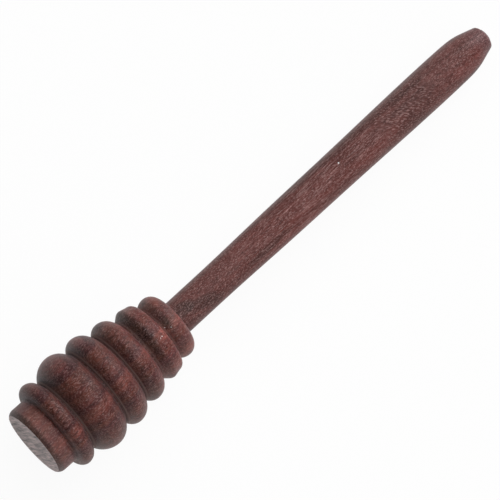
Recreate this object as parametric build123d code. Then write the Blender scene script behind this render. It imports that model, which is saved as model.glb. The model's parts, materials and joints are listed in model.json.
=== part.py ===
from build123d import *
import os
from math import atan2, degrees

# Honey dipper of dark wood: a turned head with seven rings, and a turned handle glued into it.
# It lies on its side on the floor. +X runs from the head to the handle's tip, the origin is
# under the middle of the dipper, and the widest ring and the handle touch the floor.
# Millimetres and degrees. The pieces are turned upright on +Z, then laid down together.

# Whole dipper
overall_length = 160.0

# Ringed head
head_length = 48.4
head_d = 28.4
end_ring_d = 20.0
end_round_length = 1.6
end_round_drop = 0.75
groove_land = 0.35
brow_length = 1.1
brow_drop = 0.37
bevel_length = 2.0
bevel_drop = 0.5

# Groove bottoms from the flat end: place along head_length, diameter over head_d
groove_shares = (
    (0.108, 0.722),
    (0.221, 0.706),
    (0.444, 0.775),
    (0.599, 0.696),
    (0.743, 0.645),
    (0.881, 0.560),
)
# Crests of the second to the seventh ring, in the same two shares
crest_shares = (
    (0.158, 0.903),
    (0.344, 1.000),
    (0.509, 0.958),
    (0.663, 0.859),
    (0.803, 0.767),
    (0.942, 0.648),
)
widest_ring = 1
bevelled_ring = 4

# Handle
neck_d = 9.46
swell_d = 11.0
swell_to_tip = 12.8
tip_shoulder_d = 9.22
tip_shoulder_to_tip = 5.2
tip_corner_d = 6.87
tip_corner_to_tip = 1.4
tip_crown_d = 3.9
tip_crown = 0.3
# Shaft from the head to the swell: place along it, growth from the neck to the swell
shaft_shares = (
    (0.175, 0.02),
    (0.340, 0.36),
    (0.590, 0.62),
    (0.830, 1.01),
)

# The handle's plain end is glued into a blind socket, a little off the head's axis
socket_depth = 20.0
glue_line = 0.1
tenon_chamfer = 0.5
handle_lean = 1.1
handle_offset = 0.22

# Wear has left a shallow flat on the widest ring, where it lies on the floor
worn_depth = 0.05

# Overrun of the socket's cutter past the head's face, and steps that settle the dipper
cutter_overrun = 5.0
settling_steps = 4


def flank(crest, root):
    """Edges of the outline from a ring's crest to a groove bottom, both (radius, height).

    The round leaves the crest along the axis. Where the groove is deeper than the flank is
    long, the round is a quarter turn and the rest is a straight wall.
    """
    run = root[1] - crest[1]
    along = (0, 1 if run > 0 else -1)
    if crest[0] - root[0] <= abs(run):
        return [TangentArc(crest, root, tangent=along)]
    quarter_end = (crest[0] - abs(run), root[1])
    return [TangentArc(crest, quarter_end, tangent=along), Line(quarter_end, root)]


def turned(edges):
    """The solid of revolution about +Z of a closed outline in radius and height."""
    return revolve(Plane.XZ * make_face(edges), Axis.Z)


def head_places(shares):
    """(radius, height) of groove bottoms or crests from their shares."""
    return [(diameter * head_d / 2, place * head_length) for place, diameter in shares]


def head_blank():
    """The ringed head before its socket is bored, with the flat end at the origin.

    The sixth ring has a cone and a tight round on one side of its crest, a bevel on the other.
    """
    grooves = head_places(groove_shares)
    crests = head_places(crest_shares)
    half_land = groove_land / 2
    end_r = end_ring_d / 2
    face_rim = (end_r - end_round_drop, 0)
    round_end = (end_r, end_round_length)
    here = (end_r, grooves[0][1] - half_land)
    edges = [
        Line((0, 0), face_rim),
        TangentArc(round_end, face_rim, tangent=(0, -1)),
        Line(round_end, here),
    ]
    for ring, crest in enumerate(crests):
        land_end = (grooves[ring][0], grooves[ring][1] + half_land)
        edges.append(Line(here, land_end))
        if ring == bevelled_ring:
            brow = (crest[0] - brow_drop, crest[1] - brow_length)
            bevel_end = (crest[0] - bevel_drop, crest[1] + bevel_length)
            edges += [
                Line(land_end, brow),
                TangentArc(crest, brow, tangent=(0, -1)),
                Line(crest, bevel_end),
            ]
            crest = bevel_end
        else:
            edges += flank(crest, land_end)
        if ring + 1 < len(grooves):
            here = (grooves[ring + 1][0], grooves[ring + 1][1] - half_land)
        else:
            here = (0, head_length)
        edges += flank(crest, here)
    edges.append(Line(here, (0, 0)))
    return turned(edges)


def handle_turned():
    """The handle upright, with the head's end face at height zero."""
    tip_height = overall_length - head_length
    swell_height = tip_height - swell_to_tip
    neck_r = neck_d / 2
    growth = swell_d / 2 - neck_r
    shaft = [(neck_r, 0)]
    shaft += [(neck_r + share * growth, place * swell_height) for place, share in shaft_shares]
    shaft.append((swell_d / 2, swell_height))
    shoulder = (tip_shoulder_d / 2, tip_height - tip_shoulder_to_tip)
    corner = (tip_corner_d / 2, tip_height - tip_corner_to_tip)
    crown_edge = (tip_crown_d / 2, tip_height - tip_crown)
    bevel = (corner[0] - shoulder[0], corner[1] - shoulder[1])
    tenon_end = glue_line - socket_depth
    tenon_rim = (neck_r - tenon_chamfer, tenon_end)
    tenon_side = (neck_r, tenon_end + tenon_chamfer)
    return turned([
        Line((0, tenon_end), tenon_rim),
        Line(tenon_rim, tenon_side),
        Line(tenon_side, shaft[0]),
        Spline(*shaft, shoulder, tangents=[(0, 1), bevel]),
        Line(shoulder, corner),
        Spline(corner, crown_edge, (0, tip_height), tangents=[bevel, (-1, 0)]),
        Line((0, tip_height), (0, tenon_end)),
    ])


def socket_cutter():
    """The drill that bores the socket, upright, with the head's end face at height zero."""
    drill = Cylinder(
        neck_d / 2 + glue_line,
        socket_depth + cutter_overrun,
        align=(Align.CENTER, Align.CENTER, Align.MIN),
    )
    return Pos(0, 0, -socket_depth) * drill


def dipper():
    """The three pieces upright on +Z: head, handle, and the glue that holds one in the other."""
    handle_axis = Pos(0, -handle_offset, head_length) * Rot(-handle_lean, 0, 0)
    blank = head_blank()
    handle = handle_axis * handle_turned()
    cutter = handle_axis * socket_cutter()
    return {
        "dipper_head": blank - cutter,
        "handle": handle,
        "glue_film": (blank & cutter) - handle,
    }


def laid_down(shape, droop):
    """A shape turned onto its side along +X, with the handle's tip drooping."""
    return Rot(0, 90 + droop, 0) * shape


def settled_droop(head, handle):
    """The droop at which the worn head and the handle reach equally low, found step by step."""
    contact_span = overall_length - swell_to_tip - crest_shares[widest_ring][0] * head_length
    droop = 0.0
    for _ in range(settling_steps):
        head_low = laid_down(head, droop).bounding_box().min.Z + worn_depth
        handle_low = laid_down(handle, droop).bounding_box().min.Z
        droop += degrees(atan2(handle_low - head_low, contact_span))
    return droop


def worn(lying_head):
    """The lying head with the shallow flat where it touches the floor."""
    lowest = lying_head.bounding_box().min.Z
    kept = Box(
        overall_length,
        overall_length,
        overall_length,
        align=(Align.CENTER, Align.CENTER, Align.MIN),
    )
    return lying_head & Pos(0, 0, lowest + worn_depth) * kept


pieces = dipper()
droop = settled_droop(pieces["dipper_head"], pieces["handle"])
lying = {name: laid_down(piece, droop) for name, piece in pieces.items()}
lying["dipper_head"] = worn(lying["dipper_head"])
box = Compound(list(lying.values())).bounding_box()
floor_centre = Vector(box.center().X, box.center().Y, box.min.Z)

os.makedirs("parts", exist_ok=True)
for name, piece in lying.items():
    export_step(Pos(*(-floor_centre)) * piece, f"parts/{name}.step")

# The flat end, for standing the dipper up: its centre and its outward normal
end_face = Pos(*(-floor_centre)) * Rot(0, 90 + droop, 0) * Plane.XY
print("droop", droop)
print("box", box.size)
print("flat end", end_face.origin, "facing", -end_face.z_dir)
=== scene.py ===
"""Looks of a turned wooden honey dipper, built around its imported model.

The head and the handle are lathe-turned meshes with their own solid wood; the glue keeps its
CAD shape. The stage is a pale floor under soft studio light.
"""

import json
import math

import bpy
from bpy.props import FloatProperty, FloatVectorProperty, IntProperty, PointerProperty
from mathutils import Matrix, Vector


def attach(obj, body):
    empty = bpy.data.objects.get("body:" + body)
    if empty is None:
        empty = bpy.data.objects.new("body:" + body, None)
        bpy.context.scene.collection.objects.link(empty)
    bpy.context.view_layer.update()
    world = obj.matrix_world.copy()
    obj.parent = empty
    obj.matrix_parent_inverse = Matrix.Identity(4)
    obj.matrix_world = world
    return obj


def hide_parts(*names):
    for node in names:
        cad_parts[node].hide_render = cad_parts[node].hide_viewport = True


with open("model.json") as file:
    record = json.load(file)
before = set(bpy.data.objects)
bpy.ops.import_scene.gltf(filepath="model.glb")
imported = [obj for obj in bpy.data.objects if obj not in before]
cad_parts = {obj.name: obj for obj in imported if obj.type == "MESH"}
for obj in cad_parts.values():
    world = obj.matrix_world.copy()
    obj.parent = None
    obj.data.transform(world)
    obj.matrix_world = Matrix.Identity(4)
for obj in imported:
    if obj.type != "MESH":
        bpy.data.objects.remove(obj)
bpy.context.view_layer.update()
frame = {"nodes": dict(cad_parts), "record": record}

bl_info = {
    "name": "Honey Dipper",
    "version": (1, 0, 0),
    "blender": (4, 5, 0),
    "location": "View3D > Sidebar > Honey Dipper",
    "description": "Builds a turned wooden honey dipper and the pale stage it lies on",
    "category": "Object",
}

MM = 0.001
WHITE = (1.0, 1.0, 1.0)

# Edges that turn by more degrees than this stay crisp
CREASE = 32.0
# Rows that a straight stretch may fall short by before it gets one more
ROW_SLACK = 0.01
# The flat end's faces look along the axis and lie on its plane, within these
END_FACING = 0.99
END_REACH = 0.01 * MM

# Groove bottoms from the flat end: place along the head's length, diameter over its widest
GROOVE_SHARES = (
    (0.108, 0.722),
    (0.221, 0.706),
    (0.444, 0.775),
    (0.599, 0.696),
    (0.743, 0.645),
    (0.881, 0.560),
)
# Crests of the second to the seventh ring, in the same two shares
CREST_SHARES = (
    (0.158, 0.903),
    (0.344, 1.000),
    (0.509, 0.958),
    (0.663, 0.859),
    (0.803, 0.767),
    (0.942, 0.648),
)
# The ring with the bevel, where the second ring is number 0
BEVELLED_RING = 4
# How strong the pale line in each groove is, partly pale dust and wax and partly a painted highlight
GROOVE_DUST_AND_HIGHLIGHT_SHARES = (0.0, 1.0, 0.9, 1.0, 0.45, 0.5)
# How dusty each ring is all over
RING_DUST_SHARES = (0.12, 0.0, 0.0, 0.0, 0.0, 0.0, 0.05)
# How much painted shade darkens the other side of a groove, save the last
GROOVE_SHADE_SHARE = 0.35
# Rows down the socket, as shares of its depth
SOCKET_ROW_SHARES = (0.0075, 0.1, 0.5, 1.0)
# Handle from the head to its swell: place along it, growth from the neck to the swell
SHAFT_SHARES = (
    (0.0, 0.0),
    (0.175, 0.02),
    (0.340, 0.36),
    (0.590, 0.62),
    (0.830, 1.01),
    (1.0, 1.0),
)

# Streaks of the head's wood across its layers, in millimetres from the axis, and their colours
HEAD_STREAKS = (
    (-13.0, "middle"),
    (-11.3, "middle"),
    (-10.4, "dark"),
    (-9.0, "dark"),
    (-8.2, "warm"),
    (-6.6, "warm"),
    (-5.0, "middle"),
    (-3.8, "warm"),
    (-2.2, "middle"),
    (-0.6, "dusky"),
    (0.7, "light"),
    (2.4, "light"),
    (3.4, "middle"),
    (4.2, "middle"),
    (5.2, "warm"),
    (6.6, "dusky"),
    (7.4, "dusky"),
    (8.2, "middle"),
    (10.3, "warm"),
    (13.0, "warm"),
)
# The same in the handle
HANDLE_STREAKS = (
    (-5.5, "cool"),
    (-2.5, "middle"),
    (2.0, "middle"),
    (5.5, "warm"),
)
# Half width of figure that goes all round a ring
ALL_ROUND = 60.0
# Figure in the head's wood, with some painted shade, in millimetres: place along and across, half
# length, half width, sideways run per millimetre along, and how much paler than the wood round it
HEAD_FIGURE_AND_SHADE = (
    (3.2, 0.0, 2.5, ALL_ROUND, 0.0, 0.45),
    (9.6, -5.0, 1.5, 15.0, 0.0, -0.22),
    (12.8, -4.0, 2.6, 6.0, 0.0, 0.14),
    (15.6, 0.0, 1.3, ALL_ROUND, 0.0, 0.20),
    (19.5, 0.0, 2.2, 30.0, 0.0, -0.22),
    (24.7, 0.0, 1.4, ALL_ROUND, 0.0, 0.12),
    # Painted shade on the flanks of the fifth to seventh rings that face the flat end
    (30.8, 0.0, 1.2, ALL_ROUND, 0.0, -0.12),
    (37.7, -2.2, 2.2, 9.0, 0.0, -0.38),
    (44.4, -1.0, 1.4, 6.0, 0.0, -0.42),
    (41.0, 10.5, 10.0, 6.0, 0.0, 0.30),
    (44.5, 0.0, 6.0, ALL_ROUND, 0.0, 0.28),
    (41.3, 1.6, 2.2, 2.2, 0.0, 0.30),
    (26.6, 0.0, 1.2, ALL_ROUND, 0.0, -0.10),
    (0.6, 0.0, 1.5, ALL_ROUND, 0.0, -0.26),
    (15.0, 2.3, 15.0, 1.2, 0.0, 0.30),
    (15.6, -12.0, 3.0, 3.5, 0.0, 0.25),
    (24.2, -12.0, 2.2, 3.0, 0.0, 0.25),
    (45.6, 0.8, 3.5, 1.1, 0.0, -0.25),
    (42.0, 8.2, 7.0, 1.3, 0.0, -0.32),
    (5.2, -3.5, 1.0, 5.5, 0.0, 0.20),
    (11.6, 0.0, 0.9, ALL_ROUND, 0.0, -0.14),
    (20.3, 8.5, 1.2, 4.5, 0.0, 0.26),
    (35.2, 2.0, 1.0, ALL_ROUND, 0.0, 0.14),
    (44.3, 0.8, 1.2, 3.0, 0.0, -0.14),
    (47.2, -0.5, 1.4, 3.8, 0.0, -0.18),
    (1.8, -8.4, 3.0, 1.5, 0.0, -0.24),
    (39.8, 1.5, 1.1, 4.5, 0.0, -0.14),
)
# The same columns for the figure in the handle's wood
HANDLE_FIGURE = (
    (1.0, -1.6, 5.0, 2.4, 0.05, -0.30),
    (8.5, 1.2, 7.0, 2.2, 0.30, -0.34),
    (31.0, 3.1, 9.0, 1.4, 0.02, -0.27),
    (46.0, 1.8, 16.0, 1.1, 0.0, 0.16),
    (65.0, -3.9, 34.0, 1.3, 0.02, -0.22),
    (81.0, 3.2, 7.0, 2.6, 0.0, -0.10),
    (87.0, -1.0, 4.5, 5.0, 0.0, -0.18),
    (78.0, -1.0, 6.0, 1.6, 0.1, -0.16),
    (103.0, 4.8, 9.0, 1.2, 0.0, -0.25),
    (38.0, 4.3, 13.0, 1.2, 0.0, 0.25),
    (38.0, -0.5, 26.0, 2.0, 0.0, 0.12),
    (67.0, 2.6, 11.0, 2.4, 0.0, 0.14),
    (100.0, 2.0, 7.0, 2.2, 0.0, 0.18),
    (1.0, 0.0, 4.0, ALL_ROUND, 0.0, -0.12),
    (82.0, 0.0, 3.0, ALL_ROUND, 0.0, -0.10),
    (104.0, -2.4, 4.5, 1.5, 0.0, -0.22),
    (99.0, -5.0, 5.0, 1.4, 0.0, 0.18),
    (26.0, -3.0, 9.0, 1.4, 0.0, 0.12),
)
# Tiny pale specks in the handle: millimetres across the layers and along, half width
HANDLE_SPECKS = (
    (-1.3, 58.2, 0.24),
)
# The same in the head
HEAD_SPECKS = (
    (1.7, 40.9, 0.15),
    (1.7, 40.3, 0.11),
    (1.45, 43.3, 0.12),
    (2.3, 44.5, 0.12),
)
# Where the handle's painted glints and colour change, in millimetres from the head: from short to
# long, from long to curly, from curly to short, and from brown to the grey of the tip
DASHES_START = (16.0, 34.0)
CURLS_START = (70.0, 74.0)
CURLS_END = (87.0, 93.0)
TIP_START = (104.0, 110.0)
# Noise in the wood: features per millimetre across the layers, within them and along, fineness
# of detail, and twist
WARP = ((0.25, 0.25, 0.07), 2.0, 0.0)
LINES = ((1.7, 0.12, 0.035), 3.0, 0.0)
MOTTLE = ((1.5, 1.5, 1.1), 1.0, 0.0)
FIBRES = ((2.0, 2.0, 0.25), 3.0, 0.3)
RIPPLE = ((0.6, 0.6, 0.35), 2.0, 0.6)
SPOTS = ((4.6, 4.6, 1.4), 1.0, 0.0)
DASHES = ((3.4, 3.4, 0.16), 1.0, 0.0)
CURLS = ((3.8, 3.8, 1.3), 1.0, 0.5)
PORE_CELLS = (2.6, 2.6, 0.40)
# How far the curls lean across the layers for each millimetre along
CURL_LEAN = 0.7
# Strength of the noise in the colour, and what the share of long painted glints changes of it
LINES_STRENGTH = 0.9
LINES_GAIN = 0.5
MOTTLE_STRENGTH = 1.5
MOTTLE_LOSS = 0.7
FIBRES_STRENGTH = 1.2
RIPPLE_STRENGTH = 0.5
# Tint of the pale figure, and painted light on the ring flanks: greyer where a flank faces the flat
# end and lies in shade, redder where it faces the handle
FIGURE_TINT = (1.0, 0.75, 0.75)
FLANK_PAINTED_LIGHT_TINT = (0.0, 0.22, 0.20)
# Noise at which the painted glints begin and are full
SPOT_EDGE = (0.5, 0.72)
DASH_EDGE = (0.52, 0.7)
CURL_EDGE = (0.5, 0.7)
# Strength of the long painted glints, and what the glints add on average, which is taken off again
DASH_SHARE = 0.62
FLECK_MEAN = 0.2
DASH_MEAN = 0.09
# Pores from rim to middle, which cells hold an open or a filled one, and how much each covers
PORE_EDGE = (0.34, 0.14)
OPEN_CELLS = (0.62, 0.66)
FILLED_CELLS = (0.20, 0.16)
OPEN_SHARE = 0.7
FILLED_SHARE = 0.4
# How much of the wood the thickest dust and painted highlight covers
DUST_AND_HIGHLIGHT_SHARE = 0.9
# The same in the end grain, where the rays stand some degrees off the layers
END_WARP = ((0.12, 0.12, 0.1), 2.0, 0.0)
END_LINES = ((1.2, 0.1, 1.0), 3.0, 0.0)
END_SPECKS = ((3.0, 0.35, 1.0), 2.0, 0.0)
END_CLOUDS = ((0.3, 0.16, 1.0), 1.0, 0.0)
END_PORE_CELLS = (2.2, 0.6, 1.0)
RAY_TILT = 10.0
END_PORE_EDGE = (0.26, 0.12)
END_PORE_SHARE = 0.6
END_WARP_REACH = 1.6
END_LINES_STRENGTH = 3.2
END_SPECKS_STRENGTH = 2.2
END_CLOUDS_STRENGTH = 0.8
# Where the end grain turns paler, and from how much to how much: millimetres across the layers,
# and millimetres from its middle; the paler rim is a painted highlight along the edge
PALE_SIDE = (3.5, 8.5, 0.0, 0.45)
RIM_PAINTED_HIGHLIGHT = (7.8, 9.0, 0.0, 0.25)
# Shift from one piece's noise to the next
SEED_SHIFT = (7.3, 3.1, 11.7)
GLUE_COLOURS = ((0.30, 0.19, 0.08), (0.20, 0.12, 0.05))
GLUE_CLOUDS = ((0.3, 0.3, 0.3), 3.0, 0.0)
# Heights of the bump: on the side of the wood, on the end grain, on the glue
SIDE_BUMP = 0.04 * MM
END_BUMP = 0.03 * MM
GLUE_BUMP = 0.02 * MM
# Soft lamps: tilt from the camera's line of sight, turn about it from the dipper's axis, both in
# degrees, side as a share of the lamps' distance, share of the power
LAMP_SHARES = {
    "top_lamp": (25.0, -13.0, 1.0, 0.365),
    "tip_lamp": (72.0, 12.0, 0.6, 0.375),
    "far_lamp": (62.0, 55.0, 0.6, 0.155),
    "near_lamp": (62.0, 275.0, 0.6, 0.105),
}
# Where the handle's grain wanders sideways: millimetres from the head, millimetres across
HANDLE_WANDER = (
    (-20.0, -0.8),
    (0.0, -0.8),
    (26.0, 0.4),
    (60.0, 0.0),
    (112.0, -0.8),
)


def length_property(name, description, millimetres):
    """A length that a user sees in the scene's units."""
    return FloatProperty(
        name=name,
        description=description,
        default=millimetres * MM,
        unit="LENGTH",
        subtype="DISTANCE",
    )


def angle_property(name, description, degrees):
    """An angle that a user sees in degrees."""
    return FloatProperty(
        name=name,
        description=description,
        default=math.radians(degrees),
        unit="ROTATION",
        subtype="ANGLE",
    )


def colour_property(name, description, colour):
    """A linear colour."""
    return FloatVectorProperty(
        name=name, description=description, default=colour, size=3, min=0, max=1, subtype="COLOR"
    )


def count_property(name, description, number):
    """A whole number."""
    return IntProperty(name=name, description=description, default=number)


def plain_property(name, description, number, unit="NONE"):
    """A number that stands for no length, angle or colour."""
    return FloatProperty(name=name, description=description, default=number, unit=unit)


class DipperSizes(bpy.types.PropertyGroup):
    """Sizes of the turned pieces."""

    overall_length: length_property("Overall length", "Flat end to the handle's tip", 160.0)
    head_length: length_property("Head length", "Flat end to the face that the handle enters", 48.4)
    head_diameter: length_property("Head diameter", "Across the widest ring", 28.4)
    end_ring_diameter: length_property("End ring", "Across the straight ring at the flat end", 20.0)
    end_round_length: length_property("End round length", "Rounded edge along the axis", 1.6)
    end_round_drop: length_property("End round drop", "Rounded edge towards the axis", 0.75)
    groove_land: length_property("Groove land", "Narrow flat at the bottom of each groove", 0.35)
    # The pale line is dust and wax with a painted highlight; the painted shade lies as far before
    # each groove's bottom
    pale_line_rise: length_property("Dust rise", "Pale line in each groove, past its bottom", 0.38)
    pale_line_reach: length_property("Dust reach", "Half the width of the pale line", 0.24)
    brow_length: length_property("Brow length", "Sixth ring's tight round, along the axis", 1.1)
    brow_drop: length_property("Brow drop", "Sixth ring's tight round, towards the axis", 0.37)
    bevel_length: length_property("Bevel length", "Flat on the sixth ring, along the axis", 2.0)
    bevel_drop: length_property("Bevel drop", "Flat on the sixth ring, towards the axis", 0.5)
    neck_diameter: length_property("Neck", "Across the handle where it enters the head", 9.46)
    swell_diameter: length_property("Swell", "Across the handle's widest place", 11.0)
    swell_to_tip: length_property("Swell to tip", "Widest place to the tip", 12.8)
    shoulder_diameter: length_property("Tip shoulder", "Across the start of the tip's bevel", 9.22)
    shoulder_to_tip: length_property("Shoulder to tip", "Start of the bevel to the tip", 5.2)
    corner_diameter: length_property("Tip corner", "Across the end of the tip's bevel", 6.87)
    corner_to_tip: length_property("Corner to tip", "End of the bevel to the tip", 1.4)
    crown_diameter: length_property("Tip crown", "Across the tip's shallow dome", 3.9)
    crown_height: length_property("Crown height", "Height of the tip's shallow dome", 0.3)
    socket_depth: length_property("Socket depth", "Blind hole for the handle", 20.0)
    glue_line: length_property("Glue line", "Glue between the handle and its socket", 0.1)
    tenon_chamfer: length_property("Tenon chamfer", "On the handle's hidden end", 0.5)
    handle_lean: angle_property("Handle lean", "Handle's axis off the head's axis", 1.1)
    handle_offset: length_property("Handle offset", "Handle's axis beside the head's axis", 0.22)
    row_step: length_property("Row step", "Distance between rows of the turned meshes", 0.25)
    head_columns: count_property("Head columns", "Faces round the head", 288)
    handle_columns: count_property("Handle columns", "Faces round the handle", 200)


class StageLook(bpy.types.PropertyGroup):
    """Camera, lamps and floor."""

    elevation: angle_property("Elevation", "Camera above the floor's horizon", 75.65)
    heading: angle_property("Heading", "Dipper's axis turned from the picture's right", 43.10)
    distance: length_property("Distance", "Camera to the middle of the picture", 1528.0)
    picture_width: length_property("Picture width", "Width that the picture takes in there", 127.36)
    aim_along: length_property("Aim along", "Middle of the picture, from the flat end", 75.24)
    aim_across: length_property("Aim across", "Middle of the picture, beside the axis", 0.53)
    ambient: plain_property("Ambient", "Strength of the surroundings", 0.08)
    lamp_power: plain_property("Lamp power", "All lamps together", 150.0, "POWER")
    lamp_distance: length_property("Lamp distance", "Lamps to the dipper", 3000.0)
    floor_side: length_property("Floor side", "Side of the floor", 12000.0)
    floor_colour: colour_property("Floor", "Colour of the floor", (0.88, 0.88, 0.88))
    floor_glow: plain_property("Floor glow", "Share of plain white that is seen", 0.94)


class HeadWood(bpy.types.PropertyGroup):
    """Colours and finish of the head's wood."""

    dark: colour_property("Dark streaks", "Purplish dark streaks", (0.073, 0.0256, 0.0248))
    dusky: colour_property("Dusky streaks", "A little darker than most", (0.0875, 0.0297, 0.0278))
    middle: colour_property("Brown", "Most of the wood", (0.101, 0.0338, 0.0294))
    warm: colour_property("Warm streaks", "Redder than most", (0.118, 0.0402, 0.0316))
    light: colour_property("Light streaks", "Palest streaks", (0.142, 0.0485, 0.0395))
    pore: colour_property("Pores", "Open pores", (0.030, 0.010, 0.009))
    filled: colour_property("Filled pores", "Pores with pale filling", (0.22, 0.12, 0.10))
    # Painted glints: fine flecks of painted highlight added to the colour; fineness sets their size
    # and dashed how many are long
    painted_glints: colour_property(
        "Silvery flecks", "Added where the grain catches the light", (0.13, 0.089, 0.085)
    )
    # Pale grey of the end grain: its own dry sanded colour, partly a painted reflection of the floor
    end: colour_property("End grain", "Dry sanded end grain", (0.42, 0.331, 0.324))
    # Colour of the pale line in the grooves, partly pale dust and wax and partly a painted highlight
    dust: colour_property("Dust", "Pale dust and wax in the grooves", (0.38, 0.25, 0.225))
    tilt: angle_property("Layer tilt", "Layers of the wood turned about the axis", 30.0)
    slant: plain_property("Slant", "Sideways run of the layers along the wood", 0.1)
    figure: plain_property("Figure", "Strength of the soft figure", 0.8)
    waver: plain_property("Waver", "How far the layers wander sideways", 1.4)
    drift: plain_property("Drift", "How far the figure wanders along the wood", 0.8)
    fineness: plain_property("Fineness", "How small the silvery flecks are", 1.0)
    dashed: plain_property("Dashed", "Share of long flecks", 0.3)
    roughness: plain_property("Roughness", "Shiny to dull finish", 0.5)
    seed: count_property("Seed", "Which stretch of the noise is used", 1)


class HandleWood(bpy.types.PropertyGroup):
    """Colours and finish of the handle's wood."""

    cool: colour_property("Cool streaks", "Greyer than most", (0.137, 0.0595, 0.0535))
    middle: colour_property("Brown", "Most of the wood", (0.139, 0.052, 0.0462))
    warm: colour_property("Warm streaks", "Redder than most", (0.145, 0.0485, 0.0415))
    tip: colour_property("Tip", "Greyer wood at the tip", (0.140, 0.070, 0.069))
    pore: colour_property("Pores", "Open pores", (0.040, 0.016, 0.015))
    filled: colour_property("Filled pores", "Pores with pale filling", (0.30, 0.18, 0.16))
    # Painted glints, as in the head's wood
    painted_glints: colour_property(
        "Silvery flecks", "Added where the grain catches the light", (0.175, 0.117, 0.112)
    )
    tilt: angle_property("Layer tilt", "Layers of the wood turned about the axis", 10.6)
    slant: plain_property("Slant", "Sideways run of the layers along the wood", 0.0)
    figure: plain_property("Figure", "Strength of the soft figure", 0.5)
    waver: plain_property("Waver", "How far the layers wander sideways", 1.4)
    drift: plain_property("Drift", "How far the figure wanders along the wood", 9.0)
    fineness: plain_property("Fineness", "How small the silvery flecks are", 1.25)
    roughness: plain_property("Roughness", "Shiny to dull finish", 0.5)
    seed: count_property("Seed", "Which stretch of the noise is used", 5)


def axis_frames(sizes):
    """Matrices of the head's and the handle's own axis, +Z along it from the flat end."""
    flat_end = next(m for m in frame["record"]["mounts"] if m["name"] == "flat_end")
    along = -Vector(flat_end["axis"]).normalized()
    across = Vector((0, 1, 0))
    up = along.cross(across)
    head = Matrix((across, up, along)).transposed().to_4x4()
    head.translation = Vector(flat_end["pos_m"])
    entry = Matrix.Translation((-sizes.handle_offset, 0, sizes.head_length))
    handle = head @ entry @ Matrix.Rotation(sizes.handle_lean, 4, "Y")
    return head, handle


def arc(crest, root, step):
    """Places (height, radius) from a crest to a groove bottom, round first, then straight.

    The round leaves the crest along the axis. Where the groove is deeper than the flank is
    long, the round is a quarter turn.
    """
    run, depth = abs(root[0] - crest[0]), crest[1] - root[1]
    side = 1 if root[0] > crest[0] else -1
    if depth <= run:
        bend = (run * run + depth * depth) / (2 * depth)
        turn = math.asin(run / bend)
    else:
        bend = run
        turn = math.pi / 2
    count = max(2, math.ceil(bend * turn / step))
    places = []
    for i in range(count + 1):
        angle = turn * i / count
        height = crest[0] + side * bend * math.sin(angle)
        radius = crest[1] - bend * (1 - math.cos(angle))
        places.append((height, radius))
    places += straight(places[-1], root, step)
    return places


def straight(start, end, step):
    """Places after start up to end, evenly spaced."""
    count = math.ceil(math.dist(start, end) / step - ROW_SLACK)
    return [
        tuple(a + (b - a) * i / count for a, b in zip(start, end))
        for i in range(1, count + 1)
    ]


def cubic(t, start, way, end, end_way):
    """A cubic from start to end, which leaves and arrives at the given rates, at t from 0 to 1."""
    return (
        (2 * t**3 - 3 * t**2 + 1) * start
        + (t**3 - 2 * t**2 + t) * way
        + (3 * t**2 - 2 * t**3) * end
        + (t**3 - t**2) * end_way
    )


def smooth_curve(points, end_slopes, step):
    """Places along a smooth curve through points (height, radius), with the end slopes given.

    The slopes between them follow from equal bending on both sides of each point.
    """
    heights = [height for height, radius in points]
    radii = [radius for height, radius in points]
    count = len(points)
    diagonal = [1.0] * count
    upper = [0.0] * count
    slopes = [end_slopes[0]] + [0.0] * (count - 2) + [end_slopes[1]]
    for i in range(1, count - 1):
        before, after = heights[i] - heights[i - 1], heights[i + 1] - heights[i]
        rise_before, rise_after = radii[i] - radii[i - 1], radii[i + 1] - radii[i]
        share = 1 / before / diagonal[i - 1]
        upper[i] = 1 / after
        diagonal[i] = 2 * (1 / before + 1 / after) - share * upper[i - 1]
        slopes[i] = 3 * (rise_before / before**2 + rise_after / after**2) - share * slopes[i - 1]
    for i in range(count - 2, -1, -1):
        slopes[i] = (slopes[i] - upper[i] * slopes[i + 1]) / diagonal[i]
    places = [points[0]]
    for i in range(count - 1):
        width = heights[i + 1] - heights[i]
        parts = max(1, math.ceil(width / step))
        for k in range(1, parts + 1):
            t = k / parts
            radius = cubic(t, radii[i], width * slopes[i], radii[i + 1], width * slopes[i + 1])
            places.append((heights[i] + t * width, radius))
    return places


def head_outline(sizes):
    """Places (height, radius) of the ringed head, from the flat end's middle to its socket."""
    step = sizes.row_step
    half_land = sizes.groove_land / 2
    grooves = [(a * sizes.head_length, b * sizes.head_diameter / 2) for a, b in GROOVE_SHARES]
    crests = [(a * sizes.head_length, b * sizes.head_diameter / 2) for a, b in CREST_SHARES]
    end_r = sizes.end_ring_diameter / 2
    rim = (0.0, end_r - sizes.end_round_drop)
    here = (grooves[0][0] - half_land, end_r)
    places = straight((0.0, 0.0), rim, step)
    places += arc((sizes.end_round_length, end_r), rim, step)[-2::-1]
    places += straight(places[-1], here, step)
    for ring, crest in enumerate(crests):
        land_end = (grooves[ring][0] + half_land, grooves[ring][1])
        places += straight(here, land_end, step)
        if ring != BEVELLED_RING:
            places += arc(crest, land_end, step)[-2::-1]
        else:
            brow = (crest[0] - sizes.brow_length, crest[1] - sizes.brow_drop)
            places += straight(land_end, brow, step)
            places += arc(crest, brow, step)[-2::-1]
            bevel_end = (crest[0] + sizes.bevel_length, crest[1] - sizes.bevel_drop)
            places += straight(crest, bevel_end, step)
            crest = bevel_end
        if ring + 1 < len(grooves):
            here = (grooves[ring + 1][0] - half_land, grooves[ring + 1][1])
        else:
            here = (sizes.head_length, sizes.neck_diameter / 2 + sizes.glue_line)
        places += arc(crest, here, step)[1:]
    return places


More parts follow.
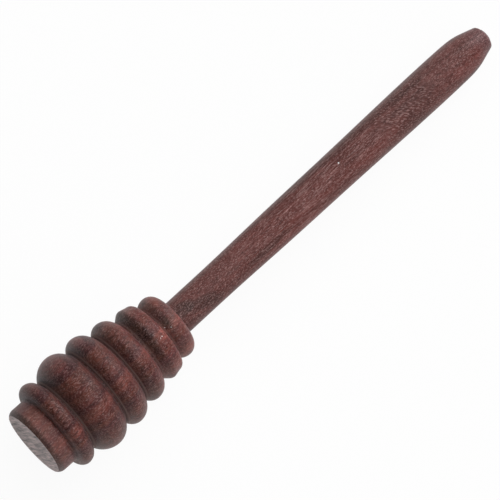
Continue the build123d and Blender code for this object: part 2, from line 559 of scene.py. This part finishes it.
def handle_outline(sizes):
    """Places (height, radius) of the handle, from its hidden end to the tip."""
    step = sizes.row_step
    tip = sizes.overall_length - sizes.head_length
    swell = tip - sizes.swell_to_tip
    neck_r, swell_r = sizes.neck_diameter / 2, sizes.swell_diameter / 2
    shaft = [(place * swell, neck_r + share * (swell_r - neck_r)) for place, share in SHAFT_SHARES]
    shoulder = (tip - sizes.shoulder_to_tip, sizes.shoulder_diameter / 2)
    corner = (tip - sizes.corner_to_tip, sizes.corner_diameter / 2)
    crown = (tip - sizes.crown_height, sizes.crown_diameter / 2)
    bevel = (corner[1] - shoulder[1]) / (corner[0] - shoulder[0])
    end = sizes.glue_line - sizes.socket_depth
    places = [(end, neck_r - sizes.tenon_chamfer), (end + sizes.tenon_chamfer, neck_r)]
    hidden_step = 8 * step
    places += straight(places[-1], shaft[0], hidden_step)
    places += smooth_curve(shaft + [shoulder], (0.0, bevel), step)[1:]
    places += straight(shoulder, corner, step)
    places += tip_dome(corner, crown, tip, bevel, step)
    return places


def tip_dome(corner, crown, tip, bevel, step):
    """Places over the tip's rounded corner and shallow dome, ending next to the axis."""
    arrive_share = 0.6
    leave_share = 0.9
    length_share = 1.2
    crown_way = Vector((0.3, -1.0)) * crown[1]
    corner_way = Vector((1.0, bevel)).normalized() * math.dist(corner, crown)
    to_crown = Vector((crown[0] - corner[0], crown[1] - corner[1]))
    pieces = [
        (corner, corner_way, crown, to_crown * arrive_share),
        (crown, crown_way * leave_share, (tip, 0.0), Vector((0.0, -crown[1]))),
    ]
    places = []
    for start, way, end, end_way in pieces:
        count = math.ceil(length_share * math.dist(start, end) / step)
        for i in range(1, count + 1):
            t = i / count
            places.append(tuple(cubic(t, start[k], way[k], end[k], end_way[k]) for k in (0, 1)))
    return places[:-1]


def turned_mesh(name, rings, columns, first, last, grain, dust):
    """A closed mesh of rings, each (matrix, height, radius), with a point at both ends.

    grain gives a point's place in the wood; the last argument gives the dust with its painted
    highlight at a height, and below zero the painted shade there.
    """
    points = []
    for matrix, height, radius in rings:
        for column in range(columns):
            angle = 2 * math.pi * column / columns
            point = matrix @ Vector((radius * math.cos(angle), radius * math.sin(angle), height))
            point.z = max(point.z, 0.0)
            points.append(point)
    faces = []
    for row in range(len(rings) - 1):
        low, high = row * columns, (row + 1) * columns
        for column in range(columns):
            after = (column + 1) % columns
            faces.append((low + column, low + after, high + after, high + column))
    start, end = len(points), len(points) + 1
    points += [first, last]
    top = (len(rings) - 1) * columns
    for column in range(columns):
        after = (column + 1) % columns
        faces.append((start, after, column))
        faces.append((end, top + column, top + after))
    mesh = bpy.data.meshes.new(name)
    mesh.from_pydata([tuple(p) for p in points], [], faces)
    mesh.shade_smooth()
    mesh.set_sharp_from_angle(angle=math.radians(CREASE))
    mesh.validate()
    places = mesh.attributes.new("grain", "FLOAT_VECTOR", "POINT")
    places.data.foreach_set("vector", [value for point in points for value in grain(point)])
    heights = [height for matrix, height, radius in rings]
    # Dust with painted highlight in the grooves, and painted shade before them
    ring_attribute(mesh, "dust", [dust(height) for height in heights], columns)
    ring_attribute(mesh, "flank", flank_slopes(rings), columns)
    piece = bpy.data.objects.new(name, mesh)
    bpy.context.scene.collection.objects.link(piece)
    return piece


def ring_attribute(mesh, name, ring_values, columns):
    """Stores one value per ring on the ring's points, and zero on the points at both ends."""
    values = [value for value in ring_values for column in range(columns)]
    mesh.attributes.new(name, "FLOAT", "POINT").data.foreach_set("value", values + [0.0, 0.0])


def flank_slopes(rings):
    """How steeply each ring's surface rises towards the handle, from -1 to 1."""
    places = [(height, radius) for matrix, height, radius in rings]
    return [
        (after[1] - before[1]) / math.dist(before, after)
        for before, after in zip(places[:1] + places[:-1], places[1:] + places[-1:])
    ]


def finish_piece(piece, node, slot, *materials):
    """Gives a piece its materials and ties it to the frame."""
    for material in materials:
        piece.data.materials.append(material)
    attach(piece, "root")
    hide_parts(node)


def grain_places(matrix, look, wander=()):
    """A function from a point to its millimetres across the layers, within them and along.

    The layers tilt about the axis, and slant and wander sideways along it.
    """
    inverse = matrix.inverted()
    cosine, sine = math.cos(look.tilt), math.sin(look.tilt)

    def place(point):
        across, up, along = inverse @ point / MM
        layer = look.slant * along - across * cosine - up * sine + shift_at(along, wander)
        return layer, up * cosine - across * sine, along

    return place


def shift_at(along, wander):
    """The sideways shift of the grain, eased between the given places."""
    for (start, low), (end, high) in zip(wander, wander[1:]):
        if start <= along <= end:
            share = (along - start) / (end - start)
            return low + (high - low) * (3 - 2 * share) * share**2
    return 0.0


def groove_dust_and_painted_light(sizes):
    """A function from a height to the pale line there, partly dust and wax and partly a painted
    highlight, which is below zero where painted shade lies.
    """
    places = [place * sizes.head_length for place, _ in GROOVE_SHARES]

    def pale(height):
        if height < 0:
            return 0.0
        amount = RING_DUST_SHARES[sum(place - sizes.pale_line_rise < height for place in places)]
        # A pale line of dust and painted highlight past each groove's bottom
        for place, share in zip(places, GROOVE_DUST_AND_HIGHLIGHT_SHARES):
            from_line = abs(height - place - sizes.pale_line_rise) / sizes.pale_line_reach
            # Painted shade just before each groove's bottom, save the last groove's
            from_shade = abs(height - place + sizes.pale_line_rise) / (2 * sizes.pale_line_reach)
            shade_share = GROOVE_SHADE_SHARE if place < places[-1] else 0.0
            amount += share * max(0.0, 1 - from_line) - shade_share * max(0.0, 1 - from_shade)
        return amount

    return pale


class Value:
    """A socket whose sums and products with numbers or other values are Math nodes."""

    def __init__(self, finish, socket):
        self.finish = finish
        self.socket = socket

    def __add__(self, other):
        return self.finish.maths("ADD", self, other)

    def __sub__(self, other):
        return self.finish.maths("SUBTRACT", self, other)

    def __rsub__(self, other):
        return self.finish.maths("SUBTRACT", other, self)

    def __mul__(self, other):
        return self.finish.maths("MULTIPLY", self, other)

    __radd__ = __add__
    __rmul__ = __mul__


class Finish:
    """One material's nodes."""

    def __init__(self, name):
        self.material = bpy.data.materials.new(name)
        self.material.use_nodes = True
        self.tree = self.material.node_tree
        self.tree.nodes.clear()

    def node(self, kind, settings=None, values=None, output=0):
        """A new node's output. Settings are set first, then sockets get numbers or values."""
        node = self.tree.nodes.new("ShaderNode" + kind)
        for name, setting in (settings or {}).items():
            if name == "stops":
                self.set_stops(node.color_ramp.elements, setting)
            elif name == "ease":
                node.color_ramp.interpolation = setting
            else:
                setattr(node, name, setting)
        for name, value in (values or {}).items():
            if isinstance(value, Value):
                self.tree.links.new(value.socket, node.inputs[name])
            else:
                node.inputs[name].default_value = value
        return Value(self, node.outputs[output]) if len(node.outputs) else None

    def set_stops(self, elements, stops):
        """Places a ramp's colours."""
        while len(elements) < len(stops):
            elements.new(1.0)
        for element, (place, colour) in zip(elements, stops):
            element.position = place
            element.color = (*colour, 1)

    def attribute(self, name, output):
        """What the mesh holds under a name."""
        return self.node("Attribute", {"attribute_name": name}, {}, output)

    def maths(self, operation, *values):
        """Sums and products of numbers."""
        return self.node("Math", {"operation": operation}, dict(enumerate(values)))

    def vector(self, operation, *values, output=0):
        """Vector maths on places or colours."""
        return self.node("VectorMath", {"operation": operation}, dict(enumerate(values)), output)

    def scaled(self, colour, tone):
        """A colour or a place times a number."""
        return self.node("VectorMath", {"operation": "SCALE"}, {0: colour, "Scale": tone})

    def split(self, places):
        """The three parts of a place."""
        outputs = self.node("SeparateXYZ", {}, {0: places}).socket.node.outputs
        return [Value(self, output) for output in outputs]

    def blend(self, factor, first, second):
        """One colour over another."""
        return self.node("Mix", {"data_type": "RGBA"}, {0: factor, 6: first, 7: second}, 2)

    def ease(self, value, low, high, start=0.0, end=1.0):
        """A value that eases from start at low to end at high."""
        settings = {"interpolation_type": "SMOOTHSTEP"}
        values = {"Value": value, "From Min": low, "From Max": high, "To Min": start, "To Max": end}
        return self.node("MapRange", settings, values)

    def noise(self, places, stretch, detail, twist):
        """Noise whose features are 1 / stretch millimetres in size."""
        spread = self.vector("MULTIPLY", places, stretch)
        values = {"Vector": spread, "Scale": 1.0, "Detail": detail, "Distortion": twist}
        return self.node("TexNoise", {}, values)

    def swing(self, *settings):
        """That noise, centred on zero."""
        return self.noise(*settings) - 0.5

    def cells(self, places, stretch):
        """Scattered round cells: how far a place is from its cell's middle, and the cell's colour."""
        spread = self.vector("MULTIPLY", places, stretch)
        outputs = self.node("TexVoronoi", {}, {"Vector": spread, "Scale": 1.0}).socket.node.outputs
        return Value(self, outputs["Distance"]), Value(self, outputs["Color"])

    def show(self, values, bump, bump_depth):
        """The Principled shader on the surface."""
        normal = self.node("Bump", {}, {"Height": bump, "Strength": 1.0, "Distance": bump_depth})
        shader = self.node("BsdfPrincipled", {}, {**values, "Normal": normal})
        self.node("OutputMaterial", {}, {"Surface": shader})
        return self.material


def opaque(colour):
    """A colour with full alpha, for a socket."""
    return (*colour, 1)


def streaked(f, look, layer, streaks):
    """The colour of the layer that a place lies in."""
    low, high = streaks[0][0], streaks[-1][0]
    stops = [((place - low) / (high - low), getattr(look, colour)) for place, colour in streaks]
    share = f.node("MapRange", {}, {"Value": layer, "From Min": low, "From Max": high})
    return f.node("ValToRGB", {"stops": stops, "ease": "EASE"}, {0: share})


def figured(f, layer, along, marks):
    """How much paler the wood is where long oval marks lie."""
    paler = 0.0
    for place, across, half_length, half_width, run, strength in marks:
        near = (along - place) * (1 / half_length)
        beside = (layer - across - (along - place) * run) * (1 / half_width)
        paler = f.ease(near * near + beside * beside, 1.0, 0.15, 0.0, strength) + paler
    return paler


def wood(name, look, colour_at, specks, has_dust_and_painted_light=False):
    """Solid dark wood: fibres, mottled figure and open pores over the broad colours."""
    f = Finish(name)
    grain = f.attribute("grain", "Vector")
    layer, depth, along = f.split(grain)
    moved = f.vector("ADD", grain, [look.seed * shift for shift in SEED_SHIFT])
    warp = f.swing(moved, *WARP)
    wavering, drifting = layer + warp * look.waver, along + warp * look.drift
    colour, paler, dashed, curly = colour_at(f, wavering, drifting)

    lines, mottle = f.swing(grain, *LINES), f.swing(moved, *MOTTLE)
    fibres, ripple = f.swing(moved, *FIBRES), f.swing(moved, *RIPPLE)
    figure = lines * (LINES_STRENGTH + LINES_GAIN * dashed)
    figure = figure + mottle * (MOTTLE_STRENGTH - MOTTLE_LOSS * dashed)
    figure = figure + fibres * FIBRES_STRENGTH + ripple * RIPPLE_STRENGTH
    # The figure, and painted light from the slope of the ring flanks
    colour = f.vector("MULTIPLY", colour, shade(f, paler))
    colour = f.scaled(colour, 1 + figure * look.figure)

    # Painted glints over the colour
    sheared = f.node("CombineXYZ", {}, {0: layer - along * CURL_LEAN, 1: depth, 2: along})
    flecks = painted_glint_flecks(f, f.scaled(moved, look.fineness), sheared, dashed, curly)
    colour = f.vector("ADD", colour, f.scaled(tuple(look.painted_glints), flecks))

    away, cell = f.cells(moved, PORE_CELLS)
    pick = f.split(cell)[0]
    near = f.ease(away, *PORE_EDGE)
    open_pore = near * f.ease(pick, *OPEN_CELLS)
    pale_pore = near * f.ease(pick, *FILLED_CELLS)
    colour = f.blend(open_pore * OPEN_SHARE, colour, opaque(look.pore))
    colour = f.blend(pale_pore * FILLED_SHARE, colour, opaque(look.filled))
    colour = with_specks(f, colour, grain, depth, specks)

    rough = look.roughness + fibres * 0.25 + open_pore * 0.15
    # Below zero the value is painted shade that darkens the wood; above zero the pale line of dust
    # and painted highlight lies over it
    if has_dust_and_painted_light:
        dust = f.attribute("dust", "Fac")
        shaded_in_groove = f.scaled(colour, f.maths("MINIMUM", dust + 1, 1.0))
        colour = f.blend(dust * DUST_AND_HIGHLIGHT_SHARE, shaded_in_groove, opaque(look.dust))
        rough = rough + dust * 0.2
    height = fibres * 0.5 + mottle * 0.4 + lines * 0.3 - open_pore * 0.8
    values = {"Base Color": colour, "Roughness": rough}
    fixed = {"IOR": 1.5, "Specular IOR Level": 0.25, "Sheen Weight": 0.1}
    return f.show({**values, **fixed}, height, SIDE_BUMP)


def shade(f, paler):
    """What the figure does to each part of the wood's colour, and the painted light from the slope of
    a ring's flank: greyer in shade, redder where lit.
    """
    by_figure = f.scaled(FIGURE_TINT, paler)
    flank_painted_light = f.scaled(FLANK_PAINTED_LIGHT_TINT, f.attribute("flank", "Fac"))
    return f.vector("ADD", f.vector("ADD", by_figure, flank_painted_light), WHITE)


def painted_glint_flecks(f, fine, sheared, dashed, curly):
    """Painted glints: fine flecks of painted highlight as spots, long dashes or curls, near zero on
    average.
    """
    spots = f.ease(f.noise(fine, *SPOTS), *SPOT_EDGE)
    dashes = f.ease(f.noise(fine, *DASHES), *DASH_EDGE)
    curls = f.ease(f.noise(sheared, *CURLS), *CURL_EDGE)
    flecks = spots * (1 - curly) + DASH_SHARE * dashes * dashed + curls * curly
    return flecks - FLECK_MEAN - DASH_MEAN * dashed


def with_specks(f, colour, grain, depth, specks):
    """Tiny white specks over a colour, on the side that faces up."""
    flat = f.vector("MULTIPLY", grain, (1.0, 0.0, 1.0))
    for across, place, half_width in specks:
        away = f.vector("DISTANCE", flat, (across, 0.0, place), output=1)
        here = f.ease(away, half_width, 0.5 * half_width) * f.ease(depth, 0.0, 1.0)
        colour = f.blend(here, colour, opaque(WHITE))
    return colour


def head_colours(look):
    """A function from a place in the head's wood to its colour and to what lies over that.

    That is how much paler the figure, with its painted shade, makes it, and the shares of long and of
    curly painted glints.
    """

    def colour_at(f, layer, along):
        paler = figured(f, layer, along, HEAD_FIGURE_AND_SHADE)
        return streaked(f, look, layer, HEAD_STREAKS), paler, look.dashed, 0.0

    return colour_at


def handle_colours(look):
    """The same for the handle's wood."""

    def colour_at(f, layer, along):
        paler = figured(f, layer, along, HANDLE_FIGURE)
        dashed = f.ease(along, *DASHES_START) * f.ease(along, *reversed(CURLS_START))
        curly = f.ease(along, *CURLS_START) * f.ease(along, *reversed(CURLS_END))
        side = streaked(f, look, layer, HANDLE_STREAKS)
        return f.blend(f.ease(along, *TIP_START), side, opaque(look.tip)), paler, dashed, curly

    return colour_at


def end_grain(look):
    """Dry sanded end grain, paler and greyer than the side, partly as a painted reflection of the
    floor, with a painted highlight along its rim, dark pores and dull streaks.
    """
    f = Finish("end_grain")
    grain = f.attribute("grain", "Vector")
    layer, depth, along = f.split(grain)
    tilt = math.radians(RAY_TILT)
    warp = f.swing(grain, *END_WARP) * END_WARP_REACH
    ray = layer * math.cos(tilt) + depth * math.sin(tilt) + warp
    lines = f.swing(f.node("CombineXYZ", {}, {0: ray, 1: depth}), *END_LINES)
    specks, clouds = f.swing(grain, *END_SPECKS), f.swing(grain, *END_CLOUDS)
    radius = f.vector("LENGTH", f.vector("MULTIPLY", grain, (1.0, 1.0, 0.0)), output=1)
    # Paler on one side of the layers, and a painted highlight along the rim
    paler = f.ease(layer, *PALE_SIDE) + f.ease(radius, *RIM_PAINTED_HIGHLIGHT)
    tone = 1 + lines * END_LINES_STRENGTH + specks * END_SPECKS_STRENGTH
    tone = tone + clouds * END_CLOUDS_STRENGTH + paler
    pore = f.ease(f.cells(grain, END_PORE_CELLS)[0], *END_PORE_EDGE)
    colour = f.blend(pore * END_PORE_SHARE, f.scaled(tuple(look.end), tone), opaque(look.pore))
    values = {"Base Color": colour, "Roughness": 0.6 + specks * 0.3, "IOR": 1.5}
    return f.show(values, lines * 0.6 + specks * 0.6 - pore, END_BUMP)


def dried_glue():
    """Hard yellowish wood glue."""
    f = Finish("dried_glue")
    places = f.scaled(f.node("TexCoord", {}, {}, "Object"), 1 / MM)
    clouds = f.noise(places, *GLUE_CLOUDS)
    colour = f.blend(clouds, *map(opaque, GLUE_COLOURS))
    values = {"Base Color": colour, "Roughness": 0.35 + clouds * 0.2, "IOR": 1.5}
    return f.show(values, clouds, GLUE_BUMP)


def give_end_grain(piece, matrix):
    """Puts the second material on the faces of the flat end."""
    way = matrix.to_3x3() @ Vector((0, 0, -1))
    start = matrix.translation
    for face in piece.data.polygons:
        off_plane = abs((face.center - start).dot(way))
        if face.normal.dot(way) > END_FACING and off_plane < END_REACH:
            face.material_index = 1


def no_dust(height):
    """A piece without grooves gathers no dust."""
    return 0.0


class DIPPER_OT_head(bpy.types.Operator):
    """Turns the ringed head with its blind socket"""

    bl_idname = "dipper.head"
    bl_label = "Ringed head"

    def execute(self, context):
        sizes = context.scene.dipper_sizes
        head, handle = axis_frames(sizes)
        rings = [(head, height, radius) for height, radius in head_outline(sizes)]
        socket_r = sizes.neck_diameter / 2 + sizes.glue_line
        depths = [share * sizes.socket_depth for share in SOCKET_ROW_SHARES]
        rings += [(handle, -depth, socket_r) for depth in depths]
        first = head @ Vector((0, 0, 0))
        last = handle @ Vector((0, 0, -sizes.socket_depth))
        look = context.scene.head_wood
        grain, dust = grain_places(head, look), groove_dust_and_painted_light(sizes)
        piece = turned_mesh("ringed_head", rings, sizes.head_columns, first, last, grain, dust)
        side = wood("head_wood", look, head_colours(look), HEAD_SPECKS, has_dust_and_painted_light=True)
        finish_piece(piece, "dipper_head", "head_wood", side, end_grain(look))
        give_end_grain(piece, head)
        return {"FINISHED"}


class DIPPER_OT_handle(bpy.types.Operator):
    """Turns the handle, from its glued end to its tip"""

    bl_idname = "dipper.handle"
    bl_label = "Handle"

    def execute(self, context):
        sizes = context.scene.dipper_sizes
        matrix = axis_frames(sizes)[1]
        places = handle_outline(sizes)
        rings = [(matrix, height, radius) for height, radius in places]
        first = matrix @ Vector((0, 0, places[0][0]))
        last = matrix @ Vector((0, 0, sizes.overall_length - sizes.head_length))
        look = context.scene.handle_wood
        grain, columns = grain_places(matrix, look, HANDLE_WANDER), sizes.handle_columns
        piece = turned_mesh("turned_handle", rings, columns, first, last, grain, no_dust)
        side = wood("handle_wood", look, handle_colours(look), HANDLE_SPECKS)
        finish_piece(piece, "handle", "handle_wood", side)
        return {"FINISHED"}


class DIPPER_OT_glue(bpy.types.Operator):
    """Gives the dried glue its material"""

    bl_idname = "dipper.glue"
    bl_label = "Dried glue"

    def execute(self, context):
        glue = frame["nodes"]["glue_film"]
        glue.data.materials.clear()
        glue.data.materials.append(dried_glue())
        return {"FINISHED"}


class DIPPER_OT_stage(bpy.types.Operator):
    """Sets out the floor, the lamps, the surroundings and the camera"""

    bl_idname = "dipper.stage"
    bl_label = "Stage"

    def execute(self, context):
        look = context.scene.dipper_stage
        head = axis_frames(context.scene.dipper_sizes)[0]
        aim = head @ Vector((look.aim_across, 0, look.aim_along))
        camera = place_camera(look, aim)
        sight = camera.matrix_world.to_3x3()
        for name, (tilt, turn, side_share, power_share) in LAMP_SHARES.items():
            lean, spin = math.radians(tilt), math.radians(turn) + look.heading
            side = math.sin(lean)
            way = Vector((side * math.cos(spin), side * math.sin(spin), math.cos(lean)))
            area_lamp(name, aim, sight @ way, look, side_share, power_share)
        lay_floor(look)
        light_world(look)
        context.scene.view_settings.view_transform = "Standard"
        return {"FINISHED"}


def place_camera(look, aim):
    """A level long-lens camera at the photograph's viewing angle."""
    away = Vector((math.sin(look.heading), math.cos(look.heading), 0))
    sight = away * math.cos(look.elevation) + Vector((0, 0, -math.sin(look.elevation)))
    data = bpy.data.cameras.new("camera")
    data.lens = data.sensor_width * look.distance / look.picture_width
    data.clip_end = 10 * look.distance
    camera = bpy.data.objects.new("camera", data)
    camera.location = aim - sight * look.distance
    camera.rotation_euler = sight.to_track_quat("-Z", "Y").to_euler()
    bpy.context.scene.collection.objects.link(camera)
    bpy.context.scene.camera = camera
    bpy.context.view_layer.update()
    return camera


def area_lamp(name, aim, way, look, side_share, power_share):
    """A soft square lamp that faces the dipper from the direction way."""
    data = bpy.data.lights.new(name, "AREA")
    data.energy = power_share * look.lamp_power
    data.size = side_share * look.lamp_distance
    lamp = bpy.data.objects.new(name, data)
    lamp.location = aim + way * look.lamp_distance
    lamp.rotation_euler = (-way).to_track_quat("-Z", "Y").to_euler()
    bpy.context.scene.collection.objects.link(lamp)


def lay_floor(look):
    """A plain pale floor under the dipper."""
    half = look.floor_side / 2
    mesh = bpy.data.meshes.new("floor")
    corners = [(-half, -half, 0), (half, -half, 0), (half, half, 0), (-half, half, 0)]
    mesh.from_pydata(corners, [], [range(4)])
    floor = bpy.data.objects.new("floor", mesh)
    bpy.context.scene.collection.objects.link(floor)
    mesh.materials.append(floor_material(look))


def floor_material(look):
    """Matt and pale, and nearly white where the camera or a reflection sees it."""
    f = Finish("floor")
    matt = f.node("BsdfDiffuse", {}, {"Color": opaque(look.floor_colour)})
    white = f.node("Emission", {}, {"Strength": 1.0})
    rays = f.node("LightPath").socket.node.outputs
    camera, glossy, through = (
        Value(f, rays[name]) for name in ("Is Camera Ray", "Is Glossy Ray", "Is Transmission Ray")
    )
    seen = f.maths("MAXIMUM", f.maths("MAXIMUM", camera, glossy), through)
    surface = f.node("MixShader", {}, {0: seen * look.floor_glow, 1: matt, 2: white})
    f.node("OutputMaterial", {}, {"Surface": surface})
    return f.material


def light_world(look):
    """Even surroundings."""
    world = bpy.data.worlds.new("surroundings")
    world.use_nodes = True
    world.node_tree.nodes["Background"].inputs["Strength"].default_value = look.ambient
    bpy.context.scene.world = world


class DIPPER_PT_panel(bpy.types.Panel):
    """Lists the pieces and the stage in the sidebar"""

    bl_label = "Honey Dipper"
    bl_idname = "DIPPER_PT_panel"
    bl_space_type = "VIEW_3D"
    bl_region_type = "UI"
    bl_category = "Honey Dipper"

    def draw(self, context):
        for maker in MAKERS:
            self.layout.operator(maker.bl_idname)
        for group in map(context.scene.path_resolve, GROUPS):
            for name in group.bl_rna.properties.keys():
                if name not in ("rna_type", "name"):
                    self.layout.prop(group, name)


MAKERS = (DIPPER_OT_head, DIPPER_OT_handle, DIPPER_OT_glue, DIPPER_OT_stage)
GROUPS = {
    "dipper_sizes": DipperSizes,
    "head_wood": HeadWood,
    "handle_wood": HandleWood,
    "dipper_stage": StageLook,
}


def register():
    for group in GROUPS.values():
        bpy.utils.register_class(group)
    for name, group in GROUPS.items():
        setattr(bpy.types.Scene, name, PointerProperty(type=group))
    for entry in (*MAKERS, DIPPER_PT_panel):
        bpy.utils.register_class(entry)


def unregister():
    for entry in reversed((*MAKERS, DIPPER_PT_panel)):
        bpy.utils.unregister_class(entry)
    for name in GROUPS:
        delattr(bpy.types.Scene, name)
    for group in GROUPS.values():
        bpy.utils.unregister_class(group)


def main():
    register()
    bpy.ops.dipper.head()
    bpy.ops.dipper.handle()
    bpy.ops.dipper.glue()
    bpy.ops.dipper.stage()


if __name__ == "__main__":
    main()
